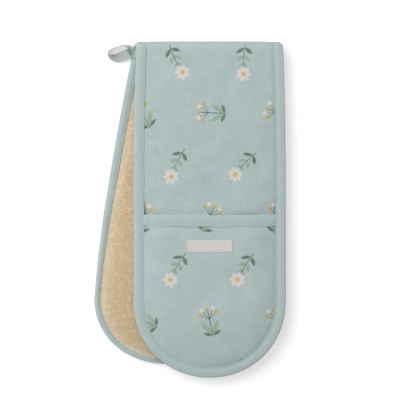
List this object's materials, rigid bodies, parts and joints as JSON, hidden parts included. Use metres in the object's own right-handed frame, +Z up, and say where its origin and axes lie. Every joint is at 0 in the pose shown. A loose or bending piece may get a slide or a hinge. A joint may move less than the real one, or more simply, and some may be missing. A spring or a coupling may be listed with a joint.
{
  "type": "double oven glove",
  "caption": "Quilted double oven glove folded in half: padded strip with a mitt pocket at each end, towelling inside, bound edges, a bare label and a hanging loop.",
  "frame": {"origin": "bottom centre of the folded glove's box, on the table it lies on", "axes": "+Y along the front half towards the fold, +Z up through the folded layers, +X to the right as seen with the patterned front half on top"},
  "size_m": [0.2448, 0.43, 0.0331],
  "materials": {
    "rear_outer": "printed cotton, matt",
    "rear_wadding": "polyester wadding",
    "rear_towelling": "looped cotton towelling",
    "rear_pocket_outer": "printed cotton, matt",
    "rear_pocket_wadding": "polyester wadding",
    "rear_pocket_lining": "plain cotton",
    "rear_mouth_binding": "folded cotton tape",
    "rear_binding": "folded cotton tape",
    "loop_tape_ends": "woven cotton tape",
    "fold_outer": "printed cotton, matt",
    "fold_wadding": "polyester wadding",
    "fold_towelling": "looped cotton towelling",
    "fold_binding_left": "folded cotton tape",
    "fold_binding_right": "folded cotton tape",
    "front_outer": "printed cotton, matt",
    "front_wadding": "polyester wadding",
    "front_towelling": "looped cotton towelling",
    "front_pocket_outer": "printed cotton, matt",
    "front_pocket_wadding": "polyester wadding",
    "front_pocket_lining": "plain cotton",
    "front_mouth_binding": "folded cotton tape",
    "front_binding": "folded cotton tape",
    "label": "woven ribbon",
    "hanging_loop": "woven cotton tape"
  },
  "bodies": {
    "rear_half": {"rear_outer": "rear_outer", "rear_wadding": "rear_wadding", "rear_towelling": "rear_towelling", "rear_pocket_outer": "rear_pocket_outer", "rear_pocket_wadding": "rear_pocket_wadding", "rear_pocket_lining": "rear_pocket_lining", "rear_mouth_binding": "rear_mouth_binding", "rear_binding": "rear_binding", "loop_tape_ends": "loop_tape_ends"},
    "fold": {"fold_outer": "fold_outer", "fold_wadding": "fold_wadding", "fold_towelling": "fold_towelling", "fold_binding_left": "fold_binding_left", "fold_binding_right": "fold_binding_right"},
    "front_half": {"front_outer": "front_outer", "front_wadding": "front_wadding", "front_towelling": "front_towelling", "front_pocket_outer": "front_pocket_outer", "front_pocket_wadding": "front_pocket_wadding", "front_pocket_lining": "front_pocket_lining", "front_mouth_binding": "front_mouth_binding", "front_binding": "front_binding", "label": "label"},
    "hanging_loop": {"hanging_loop": "hanging_loop"}
  },
  "joints": [
    {"name": "fold_lower", "type": "hinge", "parent": "rear_half", "child": "fold", "pos_m": [0.02536, 0.2103, 0.0047], "axis": [-1, 0, 0], "range_deg": [0, 89.17], "deforming": ["fold_outer", "fold_wadding", "fold_towelling", "fold_binding_left", "fold_binding_right"]},
    {"name": "fold_upper", "type": "hinge", "parent": "fold", "child": "front_half", "pos_m": [0.02536, 0.2105, 0.01909], "axis": [-1, 0, 0], "range_deg": [0, 89.17]},
    {"name": "loop_swing", "type": "hinge", "parent": "rear_half", "child": "hanging_loop", "pos_m": [-0.07388, 0.2069, 0.0065], "axis": [0.163, 0.9866, 0], "range_deg": [0, 35]}
  ],
  "couplings": [
    {"joint": "fold_upper", "follows": "fold_lower", "ratio": 1}
  ]
}
